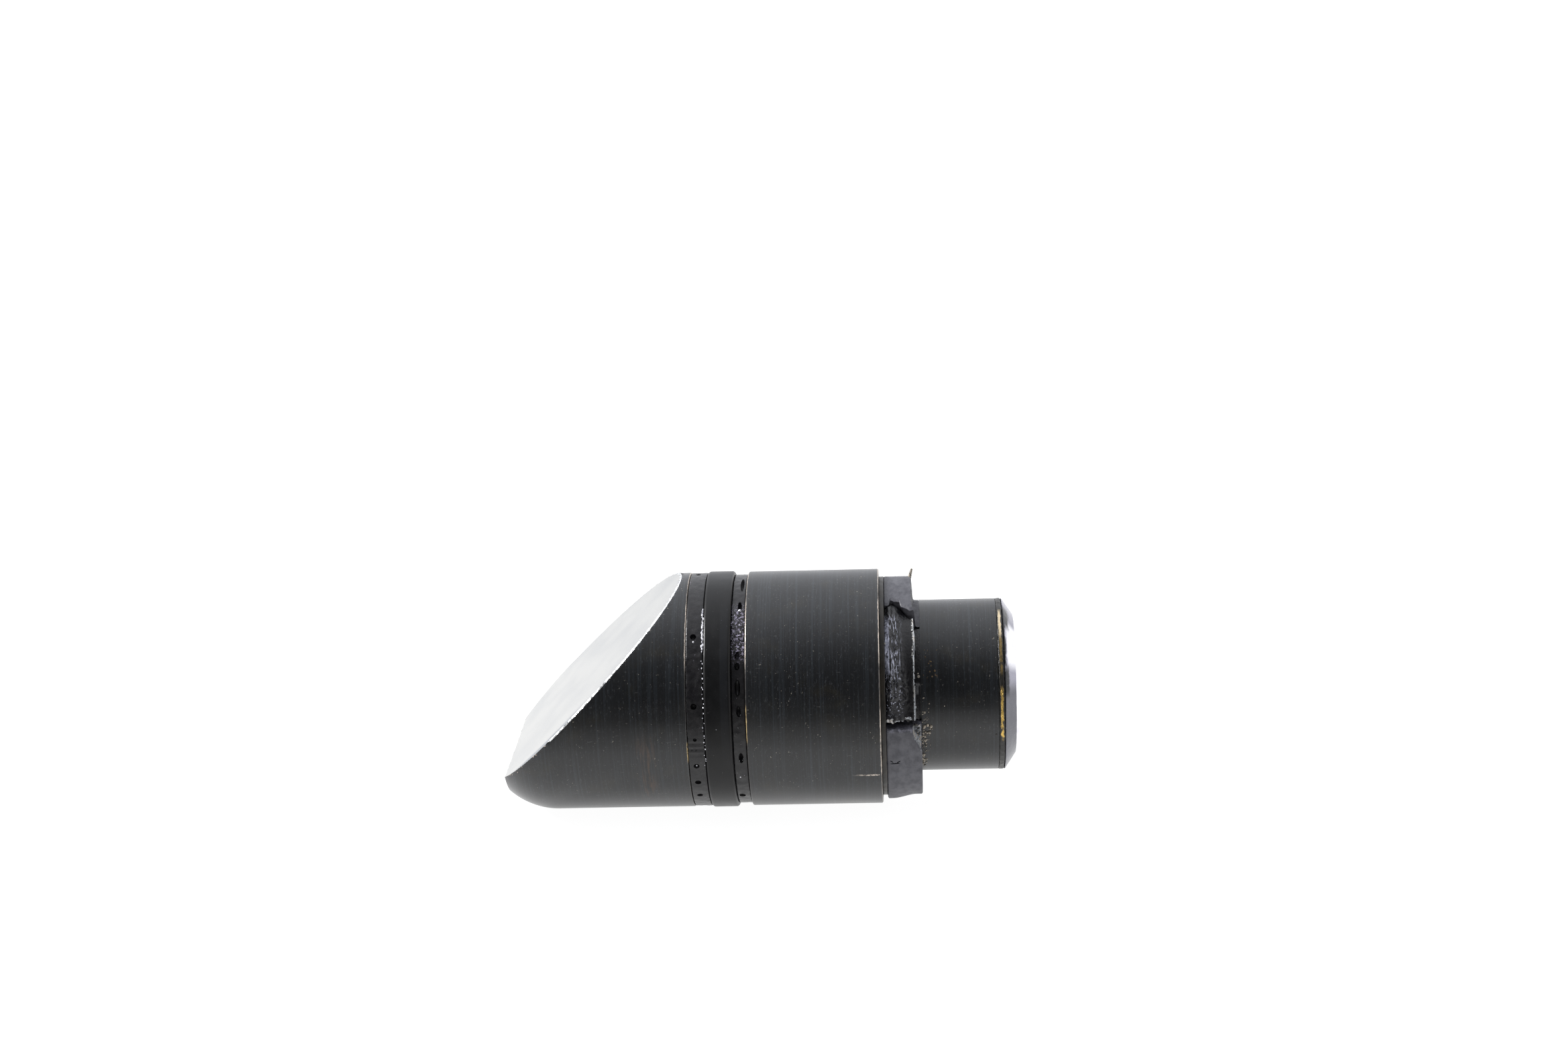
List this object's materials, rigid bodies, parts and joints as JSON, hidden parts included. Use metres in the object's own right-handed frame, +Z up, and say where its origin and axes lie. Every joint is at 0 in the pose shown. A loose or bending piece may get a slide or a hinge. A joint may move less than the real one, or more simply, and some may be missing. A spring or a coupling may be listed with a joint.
{
  "type": "wedge-nosed locking plunger",
  "caption": "Cylindrical steel locking plunger with a slanted wedge nose, sealed guide land, rubber bumper at its shoulder, plain shank and a sprung domed thrust button.",
  "frame": {"origin": "on the plunger's axis, at the middle of the cylindrical guide land", "axes": "+X along the axis from nose to thrust button, +Z up so that the slanted nose face looks up and forward (towards -X and +Z), +Y to the far side"},
  "size_m": [0.0492, 0.0222, 0.0222],
  "materials": {
    "black_steel": "turned steel with black oxide, bare ground wedge face",
    "backup_ring": "dark aged plastic",
    "seal_rubber": "smooth nitrile rubber",
    "washer_steel": "dark brownish steel",
    "bumper_rubber": "cracked matte rubber",
    "brass": "dull brass",
    "bare_steel": "bare turned steel",
    "polished_steel": "polished hard steel",
    "spring_steel": "drawn spring wire"
  },
  "bodies": {
    "plunger": {"plunger_body": "black_steel", "front_backup_ring": "backup_ring", "o_ring": "seal_rubber", "rear_backup_ring": "backup_ring", "shoulder_washer": "washer_steel", "bumper_upper_segment": "bumper_rubber", "bumper_front_segment": "bumper_rubber", "bumper_lower_segment": "bumper_rubber", "brass_ring": "brass", "retaining_collar": "bare_steel", "spring_seat": "bare_steel", "button_spring": "spring_steel"},
    "button": {"thrust_button": "polished_steel", "button_seal": "seal_rubber"}
  },
  "joints": [
    {"name": "button_slide", "type": "slide", "parent": "plunger", "child": "button", "axis": [-1, 0, 0], "range_m": [0, 0.001], "stiffness_N_per_m": 4800, "springref_m": -0.0025, "deforming": ["button_spring"]}
  ]
}
